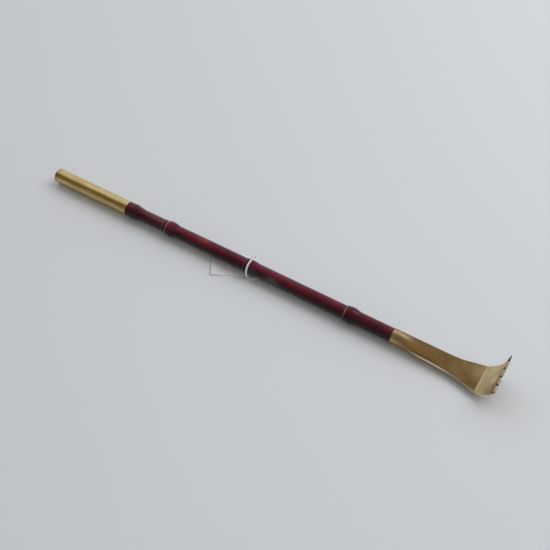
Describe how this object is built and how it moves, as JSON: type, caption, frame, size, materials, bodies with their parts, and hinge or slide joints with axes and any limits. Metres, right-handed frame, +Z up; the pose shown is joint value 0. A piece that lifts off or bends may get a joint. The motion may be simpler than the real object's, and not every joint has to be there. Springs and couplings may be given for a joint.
{
  "type": "back scratcher",
  "caption": "Back scratcher: a lacquered bamboo shaft with a round brass cap and a flattened brass head curled up into a toothed lip, with a blank swing tag tied on.",
  "frame": {"origin": "below the middle of the length, on the surface that the scratcher lies on with its teeth up", "axes": "+X runs along the shaft from the cap to the toothed head, +Y across it, and +Z is up"},
  "size_m": [0.4832, 0.0441, 0.0282],
  "materials": {
    "lacquered_bamboo": "bamboo under a dark red gloss lacquer, darker at the nodes",
    "polished_brass": "polished, with fine handling marks and a coppery heat tint by the soldered end",
    "worn_brass": "duller and browner than the cap, with a brown patina inside the curled lip",
    "tag_card": "blank white card, slightly bent",
    "cotton_string": "twisted white cotton"
  },
  "bodies": {
    "root": {"bamboo_shaft": "lacquered_bamboo", "cap_tube": "polished_brass", "cap_end_disc": "polished_brass", "scratcher_head": "worn_brass", "swing_tag": "tag_card", "tag_string": "cotton_string", "string_knot": "cotton_string"}
  },
  "joints": []
}
